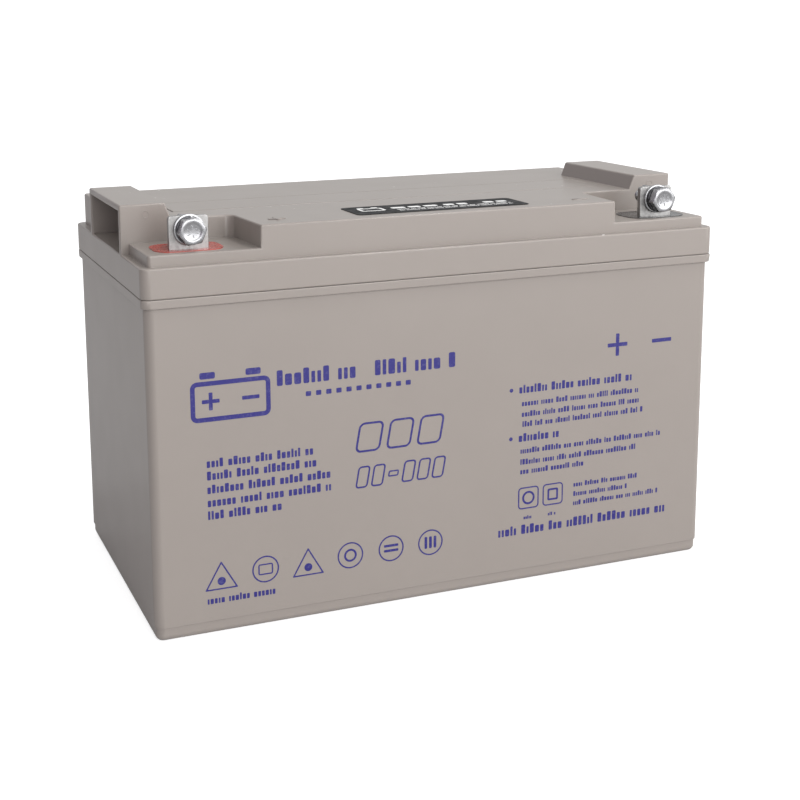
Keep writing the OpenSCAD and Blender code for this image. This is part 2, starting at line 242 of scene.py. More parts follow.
def print_ink(name, colour, roughness=0.38):
    """Screen-printed ink, a little uneven in colour, gloss and thickness."""
    m = Material(name, colour, roughness)
    paler = [c + (0.60 - c) * 0.10 for c in colour]
    m.tint(m.ramp(m.noise(1.6, 4, 0.65), 0.52, 0.72, 0.0, 0.7), paler)
    m.roughen(m.ramp(m.noise(3, 3), 0.3, 0.7, roughness - 0.06, roughness + 0.12))
    m.relief(m.noise(0.35, 2), 0.02, 0.5)
    return m.material


def poured_resin(name, colour):
    """Glossy epoxy with darker streaks, paler specks and a rippled skin."""
    m = Material(name, colour, 0.22)
    m.shader.inputs["Coat Weight"].default_value = 0.35
    m.shader.inputs["Coat Roughness"].default_value = 0.12
    darker = [c * 0.62 for c in colour]
    paler = [c + (0.8 - c) * 0.22 for c in colour]
    m.tint(m.ramp(m.noise(4, 5, 0.6), 0.42, 0.62, 0.0, 0.7), darker)
    m.tint(m.ramp(m.noise(0.9, 3, 0.6), 0.60, 0.70, 0.0, 0.6), paler)
    m.roughen(m.ramp(m.noise(1.4, 4, 0.7), 0.35, 0.65, 0.16, 0.42))
    m.relief(m.noise(1.5, 3), 0.35, 0.5)
    return m.material


def plated_metal(name, colour, roughness, streak=(1.0, 1.0, 0.08), grain=0.5):
    """Plated metal with fine drawing lines, darker and duller patches and a slightly wavy face."""
    m = Material(name, colour, roughness, metallic=1.0)
    darker = [c * 0.55 for c in colour]
    m.tint(m.ramp(m.noise(2.4, 5, 0.65), 0.48, 0.70, 0.0, 0.55), darker)
    m.tint(m.ramp(m.noise(0.5, 3, 0.7, stretch=streak), 0.60, 0.72, 0.0, 0.5), darker)
    m.roughen(m.ramp(m.noise(1.3, 5, 0.7), 0.3, 0.7, roughness * 0.75, roughness * 1.6))
    m.relief(m.noise(grain, 3, 0.6, stretch=streak), 0.03, 0.5)
    m.relief(m.noise(3.5, 3), 0.15, 0.35)
    return m.material


def cast_lead(name, colour, pitch=None):
    """Dull cast lead with an oxide bloom, and the ribs of a grid where pitch is given."""
    m = Material(name, colour, 0.55, metallic=0.75)
    m.tint(m.ramp(m.noise(7, 5, 0.6), 0.40, 0.70, 0.0, 0.7), [c * 0.6 for c in colour])
    m.tint(m.ramp(m.noise(1.2, 4, 0.7), 0.58, 0.72, 0.0, 0.6), [min(1.0, c * 1.5) for c in colour])
    m.roughen(m.ramp(m.noise(3, 4), 0.3, 0.7, 0.42, 0.72))
    m.relief(m.noise(0.8, 4, 0.6), 0.12, 0.6)
    if pitch:
        m.relief(grid_ribs(m, pitch), 0.4, 0.8)
    return m.material


def pasted_plate(name, colour):
    """Dried brown paste over a grid, blotched and rough."""
    m = Material(name, colour, 0.85)
    m.tint(m.ramp(m.noise(11, 5, 0.65), 0.38, 0.68, 0.0, 0.8), [c * 0.55 for c in colour])
    m.tint(m.ramp(m.noise(0.7, 4, 0.7), 0.58, 0.75, 0.0, 0.5), [min(1.0, c * 1.7) for c in colour])
    m.relief(grid_ribs(m, GRID_PITCH), 0.3, 0.7)
    m.relief(m.noise(0.6, 5, 0.7), 0.2, 0.7)
    return m.material


def grid_ribs(m, pitch):
    """Ribs along Y and Z, pitch millimetres apart."""
    split = m.add("ShaderNodeSeparateXYZ")
    m.feed(split.inputs["Vector"], m.place)
    ribs = [m.maths("SINE", m.maths("MULTIPLY", split.outputs[axis], math.tau / (pitch * MM)))
            for axis in ("Y", "Z")]
    return m.ramp(m.maths("MAXIMUM", *ribs), 0.75, 1.0)


def glass_mat(name, colour):
    """White felt of glass fibre, with long fibres and soft clumps."""
    m = Material(name, colour, 0.95, specular=0.2)
    m.tint(m.ramp(m.noise(5, 5, 0.7), 0.40, 0.70, 0.0, 0.5), [c * 0.86 for c in colour])
    fibres = m.noise(0.4, 5, 0.8, stretch=(1.0, 0.18, 1.0))
    m.tint(m.ramp(fibres, 0.60, 0.75, 0.0, 0.5), [c * 0.75 for c in colour])
    m.relief(fibres, 0.15, 0.8)
    m.relief(m.noise(2.5, 3), 0.2, 0.5)
    return m.material


def soft_rubber(name, colour):
    """Matt black rubber with a bloom and a fine moulded skin."""
    m = Material(name, colour, 0.68)
    m.tint(m.ramp(m.noise(3, 4, 0.6), 0.45, 0.72, 0.0, 0.5), [c + 0.08 for c in colour])
    m.roughen(m.ramp(m.noise(2, 3), 0.3, 0.7, 0.55, 0.82))
    m.relief(m.noise(0.3, 3), 0.04, 0.6)
    return m.material


def sticker_film(name, colour):
    """Satin printed film with faint waves and duller patches."""
    m = Material(name, colour, 0.45, specular=0.08)
    m.tint(m.ramp(m.noise(6, 4, 0.6), 0.5, 0.75, 0.0, 0.25), [c + 0.03 for c in colour])
    m.roughen(m.ramp(m.noise(5, 4, 0.6), 0.35, 0.65, 0.38, 0.55))
    m.relief(m.noise(12, 2), 0.25, 0.25)
    return m.material


TAUPE = (0.238, 0.211, 0.192)
BLUE = (0.010, 0.007, 0.130)
STEEL = (0.34, 0.34, 0.35)
GRID_PITCH = 8.0

LOOKS = {
    "case": case_plastic("case_plastic", TAUPE),
    "lid": case_plastic("lid_plastic", [c * 1.02 for c in TAUPE]),
    "sealant": soft_rubber("sealant", (0.030, 0.029, 0.028)),
    "valve_rubber": soft_rubber("valve_rubber", (0.015, 0.015, 0.016)),
    "label": sticker_film("label_film", (0.004, 0.004, 0.005)),
    "ink": print_ink("blue_ink", BLUE),
    "white_ink": print_ink("white_ink", (0.75, 0.75, 0.74)),
    "red_epoxy": poured_resin("red_epoxy", (0.42, 0.050, 0.035)),
    "black_epoxy": poured_resin("black_epoxy", (0.012, 0.012, 0.013)),
    "terminal_metal": plated_metal("tinned_copper", (0.36, 0.355, 0.35), 0.40),
    "bolt_steel": plated_metal("bolt_steel", STEEL, 0.20, streak=(1.0, 0.08, 1.0)),
    "spring_steel": plated_metal("spring_steel", (0.07, 0.07, 0.075), 0.26),
    "lead": cast_lead("cast_lead", (0.30, 0.31, 0.34)),
    "lead_plate": cast_lead("lead_plate", (0.24, 0.25, 0.28), pitch=GRID_PITCH),
    "lead_dioxide": pasted_plate("lead_dioxide", (0.10, 0.046, 0.030)),
    "glass_mat": glass_mat("glass_mat", (0.80, 0.80, 0.77)),
}


# ---- mesh helpers ----

BROAD_WIDTH = 1.8 * MM
NEARLY_LEVEL = 0.64


def level_normals(mesh, broad):
    """Keeps broad faces flat up to their edges, so that only the rounded edges shade softly."""
    around = {}
    for face in mesh.polygons:
        if face.index in broad:
            for vertex in face.vertices:
                around.setdefault(vertex, []).append(face.normal.copy())
    normals = [corner.vector.copy() for corner in mesh.corner_normals]
    for face in mesh.polygons:
        for loop in face.loop_indices:
            beside = around.get(mesh.loops[loop].vertex_index, ())
            near = [n for n in beside if n.dot(face.normal) > NEARLY_LEVEL]
            if near:
                normals[loop] = max(near, key=face.normal.dot)
    mesh.normals_split_custom_set(normals)


def new_piece(name, bm, look, nodes=(), body="root", smooth_deg=32.0, from_cad=False,
              flat_sided=False):
    """Makes a piece from a bmesh, rides it on its body and hides the CAD nodes that it takes the place
    of.

    A bmesh from the CAD is in metres already; the others are in millimetres.
    """
    if not from_cad:
        bmesh.ops.scale(bm, vec=(MM, MM, MM), verts=bm.verts)
    bmesh.ops.recalc_face_normals(bm, faces=bm.faces)
    bm.faces.index_update()
    broad = {f.index for f in bm.faces if f.calc_area() > BROAD_WIDTH * f.calc_perimeter() / 2}
    mesh = bpy.data.meshes.new(name)
    bm.to_mesh(mesh)
    bm.free()
    mesh.materials.append(LOOKS[look])
    mesh.shade_smooth()
    mesh.set_sharp_from_angle(angle=math.radians(smooth_deg))
    if from_cad or flat_sided:
        level_normals(mesh, broad)
    piece = bpy.data.objects.new(name, mesh)
    bpy.context.scene.collection.objects.link(piece)
    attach(piece, body)
    if nodes:
        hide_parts(*nodes)
    return piece


def bridge(bm, lower, upper):
    """Quads between two rings with the same number of points."""
    n = len(lower)
    for i in range(n):
        bm.faces.new((lower[i], lower[(i + 1) % n], upper[(i + 1) % n], upper[i]))


def loft(bm, rings, capped=True):
    """Skins a list of rings of points, and closes both ends unless told not to."""
    made = [[bm.verts.new(p) for p in ring] for ring in rings]
    for lower, upper in zip(made, made[1:]):
        bridge(bm, lower, upper)
    if capped:
        bm.faces.new(list(reversed(made[0])))
        bm.faces.new(made[-1])
    else:
        bridge(bm, made[-1], made[0])
    return made


def rounded_outline(length, width, radius, along_x=1, along_y=1, corner=8):
    """Points round a rectangle with round corners, in equal numbers whatever its size."""
    points = []
    half_x = length / 2 - radius
    half_y = width / 2 - radius
    corners = ((half_x, -half_y), (half_x, half_y), (-half_x, half_y), (-half_x, -half_y))
    for quarter, (x, y) in enumerate(corners):
        start = math.tau / 4 * (quarter - 1)
        for i in range(corner + 1):
            a = start + math.tau / 4 * i / corner
            points.append(Vector((x + radius * math.cos(a), y + radius * math.sin(a))))
        count = along_y if quarter % 2 == 0 else along_x
        a = start + math.tau / 4
        next_x, next_y = corners[(quarter + 1) % 4]
        first = points[-1].copy()
        last = Vector((next_x + radius * math.cos(a), next_y + radius * math.sin(a)))
        for i in range(1, count):
            points.append(first.lerp(last, i / count))
    return points


def at_height(points, z):
    """A flat outline lifted to a height."""
    return [Vector((p.x, p.y, z)) for p in points]


def box_in(bm, low, high):
    """Adds a box between two corners."""
    middle = (Vector(low) + Vector(high)) / 2
    size = Vector(high) - Vector(low)
    bmesh.ops.create_cube(bm, size=1.0, matrix=Matrix.LocRotScale(middle, None, size))


def cad_mesh(*names):
    """The CAD nodes as one clean bmesh in metres, joined where they touch and with flat faces whole."""
    first = NODES[names[0]]
    if len(names) > 1:
        joiner = bpy.data.objects.new("joiner", first.data.copy())
        bpy.context.scene.collection.objects.link(joiner)
        for name in names[1:]:
            step = joiner.modifiers.new("join", "BOOLEAN")
            step.operation = "UNION"
            step.solver = "EXACT"
            step.object = NODES[name]
        evaluated = joiner.evaluated_get(bpy.context.evaluated_depsgraph_get())
        mesh = bpy.data.meshes.new_from_object(evaluated)
        bpy.data.objects.remove(joiner)
    else:
        mesh = first.data.copy()
    bm = bmesh.new()
    bm.from_mesh(mesh)
    bpy.data.meshes.remove(mesh)
    bmesh.ops.remove_doubles(bm, verts=bm.verts, dist=2e-6)
    bmesh.ops.dissolve_limit(bm, angle_limit=math.radians(0.6), verts=bm.verts, edges=bm.edges)
    return bm


def is_outside_corner(edge, degrees=30.0):
    """True for an edge between two faces that meet in a sharp ridge."""
    return edge.is_manifold and edge.calc_face_angle_signed(0.0) > math.radians(degrees)


def is_inside_corner(edge, degrees=30.0):
    """True for an edge between two faces that meet in a sharp groove."""
    return edge.is_manifold and edge.calc_face_angle_signed(0.0) < -math.radians(degrees)


def round_edges(bm, edges, radius, segments=3):
    """Rounds edges by a radius in metres."""
    edges = list(edges)
    if edges:
        bmesh.ops.bevel(bm, geom=edges, offset=radius, offset_type="OFFSET", segments=segments,
                        profile=0.5, affect="EDGES", clamp_overlap=False)


def ends_of(edge):
    """The two ends of an edge, in millimetres."""
    return edge.verts[0].co / MM, edge.verts[1].co / MM


# ---- container ----


def bulge(x, y, z):
    """How far the moulded wall swells outwards, away from its stiff corners."""
    on_long_wall = abs(y) > WALL_W / 2 - BESIDE_WALL
    along = 1 - (2 * x / WALL_L) ** 2 if on_long_wall else 1 - (2 * y / WALL_W) ** 2
    up = min(1.0, max(0.0, z / BULGE_TOP_Z))
    return WALL_BULGE * max(0.0, along) * math.sin(math.pi * up)


def swollen(points, z):
    """An outline at a height, with each wall swollen."""
    out = []
    for p in points:
        push = bulge(p.x, p.y, z)
        if abs(p.y) > WALL_W / 2 - ON_WALL:
            out.append(Vector((p.x, p.y + math.copysign(push, p.y), z)))
        elif abs(p.x) > WALL_L / 2 - ON_WALL:
            out.append(Vector((p.x + math.copysign(push, p.x), p.y, z)))
        else:
            out.append(Vector((p.x, p.y, z)))
    return out


def make_container():
    """The box: foot band, swollen walls, collar, rim with its spigot, and the hollow inside."""
    bm = bmesh.new()
    share = {"along_x": 44, "along_y": 22, "corner": 8}

    def ring_at(out, radius, z):
        outline = rounded_outline(WALL_L + 2 * out, WALL_W + 2 * out, radius, **share)
        return at_height(outline, z)

    rings = []
    foot_steps = 6
    for i in range(foot_steps + 1):
        a = math.pi / 2 * i / foot_steps
        inset = FOOT_INSET + FOOT_R * (1 - math.sin(a))
        rings.append(ring_at(-inset, max(0.4, CORNER_R - inset), FOOT_R * (1 - math.cos(a))))
    for inset, up in ((FOOT_INSET, -0.5), (FOOT_INSET * 0.75, -0.1), (0.1, 0.0), (0.0, 0.3)):
        rings.append(ring_at(-inset, CORNER_R - inset, FOOT_Z + up))
    wall = rounded_outline(WALL_L, WALL_W, CORNER_R, **share)
    collar_z = RIM_Z - COLLAR_H
    wall_steps = 23
    for i in range(1, wall_steps + 1):
        rings.append(swollen(wall, FOOT_Z + 1 + (collar_z - 1.6 - FOOT_Z) * i / wall_steps))
    for out, up in ((0.0, -0.35), (0.15, -0.10), (0.45, 0.0), (WALL_INSET - 0.5, 0.0),
                    (WALL_INSET - 0.15, 0.15), (WALL_INSET, 0.5)):
        rings.append(ring_at(out, CORNER_R, collar_z + up))
    for out, up in ((WALL_INSET, -0.7), (WALL_INSET - 0.2, -0.2), (WALL_INSET - 0.7, 0.0),
                    (-2.0, 0.0), (-2.0, SPIGOT_Z - RIM_Z)):
        rings.append(ring_at(out, CORNER_R - 1, RIM_Z + up))
    rings += [ring_at(-WALL_T, 0.3, SPIGOT_Z), ring_at(-WALL_T, 0.3, FLOOR_T)]
    loft(bm, rings)
    add_cell_rests(bm)
    new_piece("container_moulding", bm, "case", ["container"], flat_sided=True)


def add_cell_rests(bm):
    """Two low ribs on the floor of each cell, which the plates stand on."""
    reach = (CELL_PITCH - PARTITION_T) / 2
    for n in range(CELLS):
        middle = (n - (CELLS - 1) / 2) * CELL_PITCH
        for y in (-REST_Y, REST_Y):
            box_in(bm, (middle - reach, y - REST_HALF_W, FLOOR_T),
                   (middle + reach, y + REST_HALF_W, FLOOR_T + REST_H))


# ---- lid ----


def on_outside(p):
    """True for a point of the lid that a hand can reach, so not under it and not in the vents."""
    if p.z < LEDGE_Z - 0.1:
        return max(abs(p.x) / HALF_L, abs(p.y) / HALF_W) > 0.995 or is_in_corner(p)
    in_vents = abs(p.x) < VENT_HIGH.x + 1.5 and abs(p.y) < VENT_HIGH.y + 1.5
    in_seats = abs(p.x) > SEAT_X and SEAT_FRONT_Y < p.y < SEAT_REAR_Y and p.z < STEP_Z + 0.5
    return not (in_vents and p.z < DECK_Z - 0.1) and not in_seats


def is_in_corner(p):
    """True near the skirt's round corners."""
    return abs(p.x) > HALF_L - BESIDE_WALL and abs(p.y) > HALF_W - BESIDE_WALL


def is_pocket_corner(edge):
    """True for the upright inside corners of the terminal recesses, next to the deck."""
    a, b = ends_of(edge)
    upright = (a - b).xy.length < ON_LEVEL and abs(a.z - b.z) > 8
    beside_deck = abs(a.x) < POCKET_X and POCKET_FRONT_Y < a.y < POCKET_REAR_Y
    return upright and beside_deck and is_inside_corner(edge)


def is_pole_mark(edge):
    """True for the edges of the raised plus and minus on the deck, which stay crisp."""
    a, b = ends_of(edge)
    on_mark = min(a.z, b.z) > DECK_Z - ON_LEVEL and DECK_Z + 0.2 < max(a.z, b.z) < DECK_Z + 1
    at_foot = (a - b).length < 10 and abs(a.z - DECK_Z) < ON_LEVEL and abs(a.y - MARK_Y) < 5
    return on_mark or at_foot


def make_lid():
    """Lid and end blocks as one moulding, with its crests and the recesses' corners rounded."""
    bm = cad_mesh("lid", "end_blocks")
    round_edges(bm, [e for e in bm.edges if is_pocket_corner(e)], POCKET_R * MM, 6)
    crests = []
    for edge in bm.edges:
        if is_outside_corner(edge) and not is_pole_mark(edge):
            if all(on_outside(p) for p in ends_of(edge)):
                crests.append(edge)
    round_edges(bm, crests, CREST_R * MM)
    new_piece("lid_moulding", bm, "lid", ["lid", "end_blocks"], from_cad=True,
              smooth_deg=40)


def make_vent_cover():
    """The long strip let into the deck."""
    bm = cad_mesh("vent_cover")
    rim = [e for e in bm.edges if is_outside_corner(e) and min(p.z for p in ends_of(e)) > DECK_Z - 0.1]
    round_edges(bm, rim, VENT_EDGE_R * MM)
    new_piece("vent_strip", bm, "lid", ["vent_cover"], from_cad=True, smooth_deg=40)


# ---- terminals ----


def pole_x(pole):
    """Where a pole's bolt stands along the length."""
    low, high = span(f"{pole}_flat_washer")
    return (low.x + high.x) / 2


def make_flag(pole):
    """The plated copper flag, with round ears at its top."""
    node = f"{pole}_terminal"
    bm = cad_mesh(node)
    ears = []
    for edge in bm.edges:
        a, b = ends_of(edge)
        across = min(a.z, b.z) > FLAG_TOP_Z - 0.1 and abs(a.x - b.x) < 0.1
        if across and is_outside_corner(edge):
            ears.append(edge)
    round_edges(bm, ears, FLAG_EAR_R * MM, 5)
    round_edges(bm, [e for e in bm.edges if is_outside_corner(e)], FLAG_EDGE_R * MM, 2)
    new_piece(f"{pole}_flag", bm, "terminal_metal", [node], from_cad=True)


def make_bolt(pole):
    """Hexagon bolt with a dished head, raised dashes on it, and a rolled thread."""
    bm = bmesh.new()
    turn = math.radians(8)
    corner = HEX_AF / 2 / math.cos(math.pi / 6)
    sides = 72

    def hex_radius(a):
        return HEX_AF / 2 / math.cos((a - turn) % (math.pi / 3) - math.pi / 6)

    def head_ring(y, limit):
        points = []
        for i in range(sides):
            a = math.tau * i / sides
            r = min(hex_radius(a), limit)
            points.append(Vector((r * math.cos(a), y, r * math.sin(a))))
        return points

    def round_ring(y, radius):
        return [Vector((radius * math.cos(math.tau * i / sides), y,
                        radius * math.sin(math.tau * i / sides))) for i in range(sides)]

    top = HEAD_FACE_Y
    back = HEAD_BACK_Y
    dish = ((DISH_DEPTH, 0.4), (DISH_DEPTH, 3.6), (0.35, 4.2), (0.08, 4.6), (0.0, 5.0))
    crown = ((0.0, 6.05), (0.10, 6.30), (0.32, 6.80), (0.62, corner))
    base = ((0.75, corner), (0.35, 6.75))
    rings = [round_ring(top + depth, radius) for depth, radius in dish]
    rings += [head_ring(top + depth, limit) for depth, limit in crown]
    rings += [head_ring(back - depth, limit) for depth, limit in base]
    rings += [round_ring(back - 0.25, 6.2), round_ring(back, 6.0)]
    rings += thread_rings(back, sides)
    loft(bm, rings)
    for i in range(6):
        add_dash(bm, turn + math.tau * (i + 0.5) / 6, top + DISH_DEPTH)
    place(bm, pole)
    new_piece(f"{pole}_hex_bolt", bm, "bolt_steel", [f"{pole}_bolt"], body=f"{pole}_screw",
              smooth_deg=28)


def thread_rings(start, sides):
    """Rings of a helical thread, from the head's underside to a blunt point."""
    length = BOLT_END_Y - start
    rings_per_pitch = 10
    count = int(length / THREAD_PITCH * rings_per_pitch)
    rings = []
    for k in range(count + 1):
        y = length * k / count
        taper = min(1.0, (length - y) / 1.2) * min(1.0, max(0.0, y - 0.2) / 0.8)
        ring = []
        for i in range(sides):
            phase = (y / THREAD_PITCH - i / sides) % 1.0
            crest = min(1.0, max(0.0, (abs(phase - 0.5) * 2 - 0.12) / 0.72))
            r = THREAD_ROOT_R + THREAD_DEPTH * crest * taper
            a = math.tau * i / sides
            ring.append(Vector((r * math.cos(a), start + y, r * math.sin(a))))
        rings.append(ring)
    return rings


def add_dash(bm, angle, y):
    """A short raised stroke that points to the middle of the bolt's head."""
    turn = Matrix.Rotation(-angle, 4, "Y")
    size = Vector((1.5, 0.36, 0.5))
    radius = 2.5
    matrix = turn @ Matrix.LocRotScale(Vector((radius, y, 0)), None, size)
    bmesh.ops.create_cube(bm, size=1.0, matrix=matrix)


def place(bm, pole):
    """Moves a shape made round the origin to a pole's bolt axis."""
    bmesh.ops.translate(bm, verts=bm.verts, vec=(pole_x(pole), 0.0, BOLT_Z))


def turned_ring(bm, profile, sides=64, start=0.0, sweep=math.tau, rise=0.0):
    """Turns a closed profile of (radius, y) points round the bolt's axis, part of a turn if asked."""
    whole = abs(sweep) >= math.tau - 1e-6 and not rise
    steps = sides if whole else sides + 1
    rings = []
    for i in range(steps):
        share = i / sides
        a = start + sweep * share
        rings.append([Vector((r * math.cos(a), y + rise * share, r * math.sin(a)))
                      for r, y in profile])
    loft(bm, rings, capped=not whole)


def make_washers(pole):
    """The flat washer, and the split spring washer between it and the bolt's head."""
    flat = bmesh.new()
    low, high = span(f"{pole}_flat_washer")
    turned_ring(flat, softened(WASHER_HOLE_R, FLAT_WASHER_R, low.y, high.y, 0.28))
    place(flat, pole)
    new_piece(f"{pole}_plain_washer", flat, "bolt_steel", [f"{pole}_flat_washer"],
              body=f"{pole}_washers")
    spring = bmesh.new()
    low, high = span(f"{pole}_spring_washer")
    set_off = 0.22
    section = softened(WASHER_HOLE_R, SPRING_WASHER_R, low.y, high.y - set_off, 0.22)
    split = 0.24
    turned_ring(spring, section, start=math.radians(72), sweep=split - math.tau, rise=set_off)
    place(spring, pole)
    new_piece(f"{pole}_split_washer", spring, "spring_steel", [f"{pole}_spring_washer"],
              body=f"{pole}_washers")


def softened(r0, r1, y0, y1, soft):
    """Outline of a washer's section with its corners taken off."""
    return [(r0 + soft, y0), (r1 - soft, y0), (r1 - soft * 0.3, y0 + soft * 0.3),
            (r1, y0 + soft), (r1, y1 - soft), (r1 - soft * 0.3, y1 - soft * 0.3),
            (r1 - soft, y1), (r0 + soft, y1), (r0, y1 - soft), (r0, y0 + soft)]


def make_nut(pole):
    """The nut behind the flag."""
    bm = cad_mesh(f"{pole}_nut")
    round_edges(bm, [e for e in bm.edges if is_outside_corner(e, 40)], NUT_EDGE_R * MM, 2)
    new_piece(f"{pole}_hex_nut", bm, "bolt_steel", [f"{pole}_nut"], from_cad=True)


def make_epoxy(pole, look):
    """Resin that has crept up the recess's wall, with a rippled top."""
    rng = random.Random(7 if pole == "positive" else 11)
    low, high = span(f"{pole}_epoxy")
    middle = (low + high) / 2
    half_l = (high.x - low.x) / 2
    half_w = (high.y - low.y) / 2
    share = {"along_x": 14, "along_y": 8, "corner": 6}
    bm = bmesh.new()
    rings = []
    for z in (low.z, high.z - 1.0):
        rings.append(at_height(rounded_outline(2 * half_l, 2 * half_w, RESIN_R, **share), z))
    waves = [(rng.uniform(0.3, 0.9), rng.uniform(0.3, 0.9), rng.uniform(0, 6)) for i in range(5)]
    sink, climb, climb_reach, ripple_h = 0.36, 0.30, 0.9, 0.10
    inset = 0.0
    while inset < half_w - 1.0:
        outline = rounded_outline(2 * (half_l - inset), 2 * (half_w - inset),
                                  max(0.5, RESIN_R - inset), **share)
        creep = climb * math.exp(-inset / climb_reach)
        ring = []
        for p in outline:
            ripple = sum(math.sin(a * p.x + b * p.y + c) for a, b, c in waves) / len(waves)
            top = high.z - sink + creep + ripple_h * ripple * min(1.0, inset / 1.5)
            ring.append(Vector((p.x, p.y, min(high.z, top))))
        rings.append(ring)
        inset += 0.45 if inset < 2 else 1.0
    loft(bm, rings)
    bmesh.ops.translate(bm, verts=bm.verts, vec=(middle.x, middle.y, 0))
    new_piece(f"{pole}_resin", bm, look, [f"{pole}_epoxy"], smooth_deg=60)


# ---- printing ----


def front_wall(u, v, lift):
    """A point on the front wall: u along the length, v up, and lift off its surface."""
    return Vector((u, WALL_FRONT_Y - bulge(u, WALL_FRONT_Y, v) - lift, v))


def deck_label(u, v, lift):
    """A point on the label on the deck, u along it and v across it from its middle."""
    middle = (LABEL_LOW + LABEL_HIGH) / 2
    return Vector((middle.x + u, middle.y + v, LABEL_HIGH.z + lift))


class Print:
    """Flat shapes laid on a surface as very thin solids."""

    def __init__(self, surface, seed):
        self.bm = bmesh.new()
        self.surface = surface
        self.rng = random.Random(seed)

    def shape(self, points):
        """A filled outline."""
        under = [self.bm.verts.new(self.surface(u, v, -PRINT_T)) for u, v in points]
        over = [self.bm.verts.new(self.surface(u, v, PRINT_T)) for u, v in points]
        self.bm.faces.new(list(reversed(under)))
        self.bm.faces.new(over)
        bridge(self.bm, under, over)

    def band(self, outer, inner):
        """The strip between two outlines with the same number of points."""
        rings = []
        for outline, lift in ((outer, -PRINT_T), (outer, PRINT_T), (inner, PRINT_T), (inner, -PRINT_T)):
            rings.append([self.surface(u, v, lift) for u, v in outline])
        loft(self.bm, rings, capped=False)

    def bar(self, u0, v0, u1, v1, radius=None, lean=0.0):
        """A filled rounded bar, with points along its sides so that it follows the wall."""
        self.shape(self.bar_outline(u0, v0, u1, v1, radius, lean))

    def bar_outline(self, u0, v0, u1, v1, radius=None, lean=0.0):
        """Points round a rounded bar, which may lean to the right."""
        radius = min(u1 - u0, v1 - v0) * 0.42 if radius is None else radius
        points = rounded_outline(u1 - u0, v1 - v0, radius, 10, 3, 5)
        middle_u = (u0 + u1) / 2
        middle_v = (v0 + v1) / 2
        return [(middle_u + p.x + lean * p.y, middle_v + p.y) for p in points]

    def outlined_bar(self, u0, v0, u1, v1, line, radius, lean=0.0):
        outer = self.bar_outline(u0, v0, u1, v1, radius, lean)
        inner = self.bar_outline(u0 + line, v0 + line, u1 - line, v1 - line,
                                 max(0.2, radius - line), lean)
        self.band(outer, inner)

    def ring(self, u, v, radius, line):
        self.band(self.circle(u, v, radius, 64), self.circle(u, v, radius - line, 64))

    def disc(self, u, v, radius):
        self.shape(self.circle(u, v, radius, 40))

    def circle(self, u, v, radius, count):
        """So many points round a circle."""
        angles = [math.tau * i / count for i in range(count)]
        return [(u + radius * math.cos(a), v + radius * math.sin(a)) for a in angles]

    def triangle(self, u, v, radius, line):
        """An outlined triangle, point up, with blunt corners."""
        def outline(r, blunt=0.5):
            points = []
            for k in range(3):
                a = math.pi / 2 + math.tau * k / 3
                for turn in (-0.5, 0, 0.5):
                    points.append((u + r * math.cos(a) + blunt * math.cos(a + turn),
                                   v + r * math.sin(a) + blunt * math.sin(a + turn)))
            return points
        self.band(outline(radius), outline(radius - 2 * line))

    def cross(self, u, v, reach, line, across=True):
        """A plus sign, or a minus sign."""
        self.bar(u - reach, v - line / 2, u + reach, v + line / 2, line * 0.2)
        if across:
            self.bar(u - line / 2, v + line / 2, u + line / 2, v + reach, line * 0.2)
            self.bar(u - line / 2, v - reach, u + line / 2, v - line / 2, line * 0.2)

    def line_of_marks(self, u0, u1, v, height):
        """A row of plain upright strokes in groups, to stand for a line of small print."""
        u = u0
        step = height * 0.62
        group = self.rng.randint(3, 8)
        while u + step * 0.8 <= u1:
            tall = self.rng.random() < 0.28
            top = v + height * (1.0 if tall else 0.74)
            wide = step * self.rng.choice((0.40, 0.62, 0.74))
            self.bar(u, v, u + wide, top, min(wide, height) * 0.25)
            u += wide + step * 0.24
            group -= 1
            if group == 0:
                u += step * 0.75
                group = self.rng.randint(3, 8)

    def finish(self, name, look):
        return new_piece(name, self.bm, look, smooth_deg=20)


def print_emblem(ink):
    """A plain battery sign: a box with two posts, a plus and a minus."""
    left, right = -142, -100
    foot, top = 114, 135
    ink.outlined_bar(left, foot, right, top, 2.4, 3.5)
    for u in (left + 9, right - 9):
        ink.bar(u - 4, top + 1.2, u + 4, top + 4.6, 0.9)
    middle = (foot + top) / 2
    ink.cross(left + 10.5, middle, 4.6, 2.0)
    ink.cross(right - 10.5, middle, 4.6, 2.0, across=False)


def print_headline(ink):
    """Large plain strokes in place of a name, and small spaced bars under them."""
    for left, right in ((-96.5, -48.5), (-42.5, 6.5)):
        ink.line_of_marks(left, right, 128.6, 8.2)
    for i in range(11):
        u = -81.0 + 5.6 * i
        ink.bar(u, 121.6, u + 2.9, 124.2, 0.5)


def print_rating(ink):
    """Two rows of outlined leaning blocks, in place of a large type name."""
    left, pitch, lean = -54.0, 17.6, 0.18
    for i in range(3):
        u = left + pitch * i
        ink.outlined_bar(u + 1.2, 87.6, u + 15.4, 103.8, 1.15, 3.2, lean=lean)
    for i in range(6):
        u = left + pitch / 2 * i
        if i == 2:
            ink.outlined_bar(u + 1.2, 72.2, u + 7.2, 75.6, 0.8, 0.9, lean=lean)
        else:
            ink.outlined_bar(u + 0.8, 68.0, u + 7.8, 80.0, 0.9, 2.0, lean=lean)


def print_left_lines(ink):
    """Five lines under the emblem, each with its height on the wall and its right end."""
    left, tall = -134.5, 4.6
    for v, right in ((90.0, -74.6), (83.4, -73.6), (76.2, -66.4), (69.2, -65.4), (62.4, -94.7)):
        ink.line_of_marks(left, right, v, tall)


